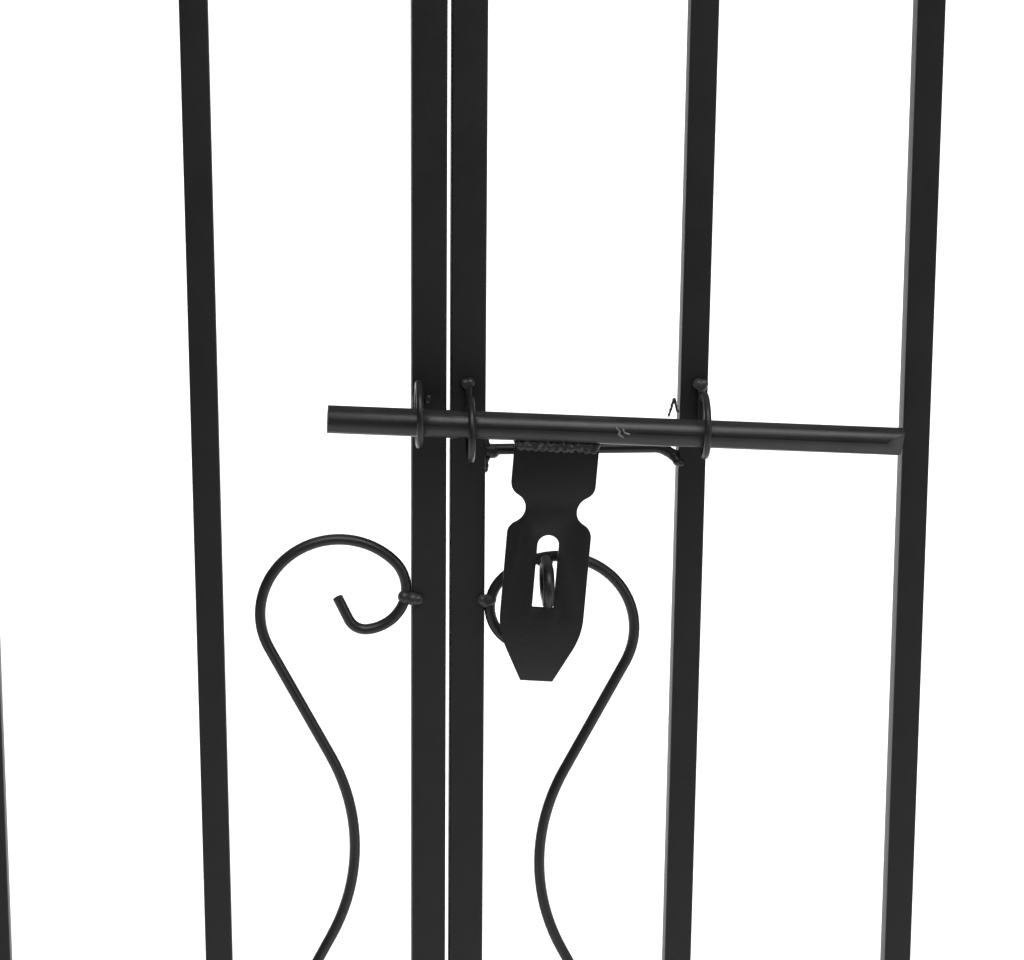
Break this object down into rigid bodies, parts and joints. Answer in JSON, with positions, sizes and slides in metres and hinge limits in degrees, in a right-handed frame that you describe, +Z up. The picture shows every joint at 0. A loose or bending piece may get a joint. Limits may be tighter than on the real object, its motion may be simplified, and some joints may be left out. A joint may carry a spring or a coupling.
{
  "type": "garden gate",
  "caption": "Double-leaf welded steel garden gate on two posts, closed by a loose tube bolt through rings with a padlock hasp and scrollwork.",
  "frame": {"origin": "on the ground, midway between the posts and in the middle of their depth", "axes": "+X runs along the gate to the right leaf, +Y points away from the side that carries the bolt, +Z is up"},
  "size_m": [1.0444, 0.22, 1.5149],
  "materials": {
    "leaf_coat": "satin black powder coat",
    "rod_coat": "satin black powder coat on bent rod",
    "latch_coat": "satin black powder coat, scuffed by use",
    "post_coat": "satin black powder coat",
    "hinge_coat": "satin black powder coat, rubbed at the pins",
    "washer_steel": "greased bare steel",
    "cap_plastic": "black moulded plastic"
  },
  "bodies": {
    "posts": {"left_post": "post_coat", "left_post_cap": "post_coat", "left_base_plate": "post_coat", "left_base_gussets": "post_coat", "left_upper_pintle": "hinge_coat", "left_lower_pintle": "hinge_coat", "left_thrust_washers": "washer_steel", "right_post": "post_coat", "right_post_cap": "post_coat", "right_base_plate": "post_coat", "right_base_gussets": "post_coat", "right_upper_pintle": "hinge_coat", "right_lower_pintle": "hinge_coat", "right_thrust_washers": "washer_steel"},
    "left_leaf": {"left_meeting_stile": "leaf_coat", "left_hinge_stile": "leaf_coat", "left_inner_bar": "leaf_coat", "left_outer_bar": "leaf_coat", "left_bottom_rail": "leaf_coat", "left_arch_rail": "leaf_coat", "left_stile_caps": "cap_plastic", "left_scroll": "rod_coat", "left_upper_barrel": "hinge_coat", "left_lower_barrel": "hinge_coat", "keeper_ring": "latch_coat"},
    "right_leaf": {"right_meeting_stile": "leaf_coat", "right_hinge_stile": "leaf_coat", "right_inner_bar": "leaf_coat", "right_outer_bar": "leaf_coat", "right_bottom_rail": "leaf_coat", "right_arch_rail": "leaf_coat", "right_stile_caps": "cap_plastic", "right_scroll": "rod_coat", "right_upper_barrel": "hinge_coat", "right_lower_barrel": "hinge_coat", "inner_bolt_ring": "latch_coat", "outer_bolt_ring": "latch_coat", "cross_rod": "rod_coat", "hasp_staple": "latch_coat"},
    "bolt": {"bolt_tube": "latch_coat"},
    "hasp": {"hasp_plate": "latch_coat"}
  },
  "joints": [
    {"name": "left_leaf_swing", "type": "hinge", "parent": "posts", "child": "left_leaf", "pos_m": [-0.41725, 0, 0.5], "axis": [0, 0, 1], "range_deg": [-90, 90]},
    {"name": "right_leaf_swing", "type": "hinge", "parent": "posts", "child": "right_leaf", "pos_m": [0.41725, 0, 0.5], "axis": [0, 0, 1], "range_deg": [-90, 90]},
    {"name": "bolt_slide", "type": "slide", "parent": "right_leaf", "child": "bolt", "axis": [0.9986, 0, -0.0523], "range_m": [0, 0.055]},
    {"name": "hasp_swing", "type": "hinge", "parent": "bolt", "child": "hasp", "pos_m": [0, -0.0295, 0.9], "axis": [0.9986, 0, -0.0523], "range_deg": [-160.5, 0]}
  ],
  "couplings": [
    {"joint": "hasp_swing", "follows": "bolt_slide", "rad_per_m": -50.773}
  ]
}
